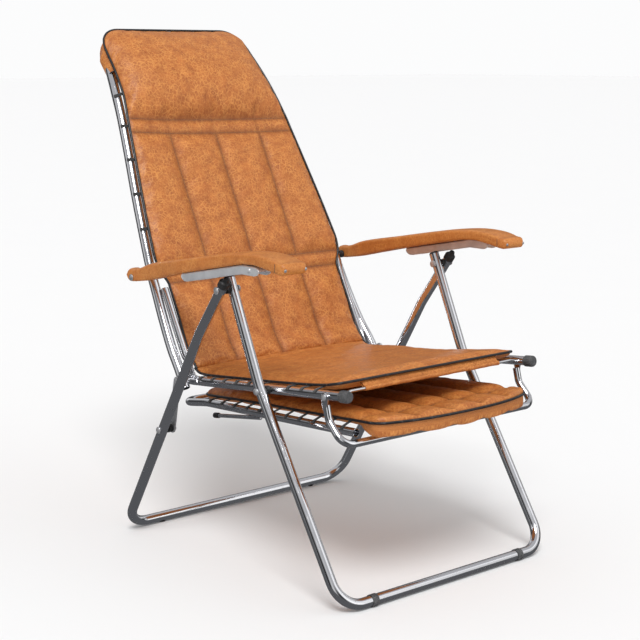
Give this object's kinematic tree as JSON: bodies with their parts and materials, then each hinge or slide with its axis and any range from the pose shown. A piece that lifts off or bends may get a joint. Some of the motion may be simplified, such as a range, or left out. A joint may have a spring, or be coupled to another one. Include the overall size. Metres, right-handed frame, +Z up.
{
  "type": "folding lounge chair",
  "caption": "Folding reclining lounge chair with a chrome tube frame, a padded vinyl sling seat and back, hooked armrests and a padded footrest that slides from under the seat.",
  "frame": {"origin": "on the floor, under the middle of the chair's overall box", "axes": "+Z up; the chair faces -Y; +X is the sitter's left"},
  "size_m": [0.62, 0.9606, 1.023],
  "materials": {
    "chrome": "polished, with faint wear at the bends",
    "satin_channel": "satin, drawn along its length",
    "zinc_plate": "dulled zinc plate",
    "vinyl": "embossed semi-gloss vinyl over foam, black piping",
    "arm_vinyl": "smooth semi-gloss vinyl",
    "black_plastic": "moulded",
    "grey_plastic": "moulded, slightly speckled"
  },
  "bodies": {
    "feet": {"front_foot_ring_right": "grey_plastic", "front_foot_ring_left": "grey_plastic"},
    "front_frame": {"front_leg_frame": "chrome", "front_leg_plug_right": "black_plastic", "front_leg_plug_left": "black_plastic", "apex_bolt_right": "zinc_plate", "apex_bolt_left": "zinc_plate", "apex_spacer_right": "black_plastic", "apex_spacer_left": "black_plastic", "seat_pivot_bolt_right": "zinc_plate", "seat_pivot_bolt_left": "zinc_plate", "seat_pivot_spacer_right": "black_plastic", "seat_pivot_spacer_left": "black_plastic"},
    "rear_frame": {"rear_leg_frame": "chrome", "rear_leg_cap_right": "black_plastic", "rear_leg_cap_left": "black_plastic", "rear_foot_stud_right": "black_plastic", "rear_foot_stud_left": "black_plastic", "link_rivet_right": "zinc_plate", "link_rivet_left": "zinc_plate", "link_spacer_right": "black_plastic", "link_spacer_left": "black_plastic"},
    "links": {"link_bar_right": "zinc_plate", "link_bar_left": "zinc_plate", "link_end_rivet_right": "zinc_plate", "link_end_rivet_left": "zinc_plate"},
    "seat": {"seat_rail_right": "chrome", "seat_rail_left": "chrome", "seat_rail_cap_right": "grey_plastic", "seat_rail_cap_left": "grey_plastic", "seat_front_rod": "chrome", "footrest_hanger": "chrome", "hanger_rivet_right": "zinc_plate", "hanger_rivet_left": "zinc_plate", "seat_pad": "vinyl"},
    "back_hinge": {"back_hinge_bolt_right": "zinc_plate", "back_hinge_bolt_left": "zinc_plate", "back_stay_right": "chrome", "back_stay_left": "chrome"},
    "back": {"back_frame": "chrome", "back_pad": "vinyl", "head_pocket": "vinyl", "armrest_rivet_right": "zinc_plate", "armrest_rivet_left": "zinc_plate", "armrest_spacer_right": "black_plastic", "armrest_spacer_left": "black_plastic"},
    "arms": {"armrest_right": "arm_vinyl", "armrest_left": "arm_vinyl", "armrest_rack_right": "satin_channel", "armrest_rack_left": "satin_channel"},
    "footrest": {"footrest_frame": "chrome", "footrest_prop_cap_right": "black_plastic", "footrest_prop_cap_left": "black_plastic", "footrest_pad": "vinyl"}
  },
  "joints": [
    {"name": "front_leg_tilt", "type": "hinge", "parent": "feet", "child": "front_frame", "pos_m": [0, -0.4313, 0.0115], "axis": [1, 0, 0], "range_deg": [0, 30.6]},
    {"name": "fold", "type": "hinge", "parent": "front_frame", "child": "seat", "pos_m": [0, -0.2038, 0.3665], "axis": [-1, 0, 0], "range_deg": [0, 83]},
    {"name": "rear_leg_fold", "type": "hinge", "parent": "front_frame", "child": "rear_frame", "pos_m": [0, -0.1217, 0.5463], "axis": [-1, 0, 0], "range_deg": [0, 50]},
    {"name": "link_swing", "type": "hinge", "parent": "rear_frame", "child": "links", "pos_m": [0, 0.0782, 0.243], "axis": [-1, 0, 0], "range_deg": [0, 126]},
    {"name": "back_fold", "type": "hinge", "parent": "seat", "child": "back_hinge", "pos_m": [0, 0.0587, 0.34], "axis": [1, 0, 0], "range_deg": [0, 69.5]},
    {"name": "recline", "type": "hinge", "parent": "back_hinge", "child": "back", "pos_m": [0, 0.0587, 0.34], "axis": [-1, 0, 0], "range_deg": [0, 18]},
    {"name": "arm_fold", "type": "hinge", "parent": "back", "child": "arms", "pos_m": [0, 0.1797, 0.536], "axis": [-1, 0, 0], "range_deg": [0, 56]},
    {"name": "footrest_slide", "type": "slide", "parent": "seat", "child": "footrest", "axis": [0, -0.9983, 0.0587], "range_m": [0, 0.27]}
  ],
  "couplings": [
    {"joint": "front_leg_tilt", "follows": "fold", "ratio": 0.3667},
    {"joint": "rear_leg_fold", "follows": "fold", "ratio": 0.5999},
    {"joint": "link_swing", "follows": "fold", "ratio": 1.5146},
    {"joint": "back_fold", "follows": "fold", "ratio": 0.8331},
    {"joint": "arm_fold", "follows": "fold", "ratio": 0.6682}
  ]
}
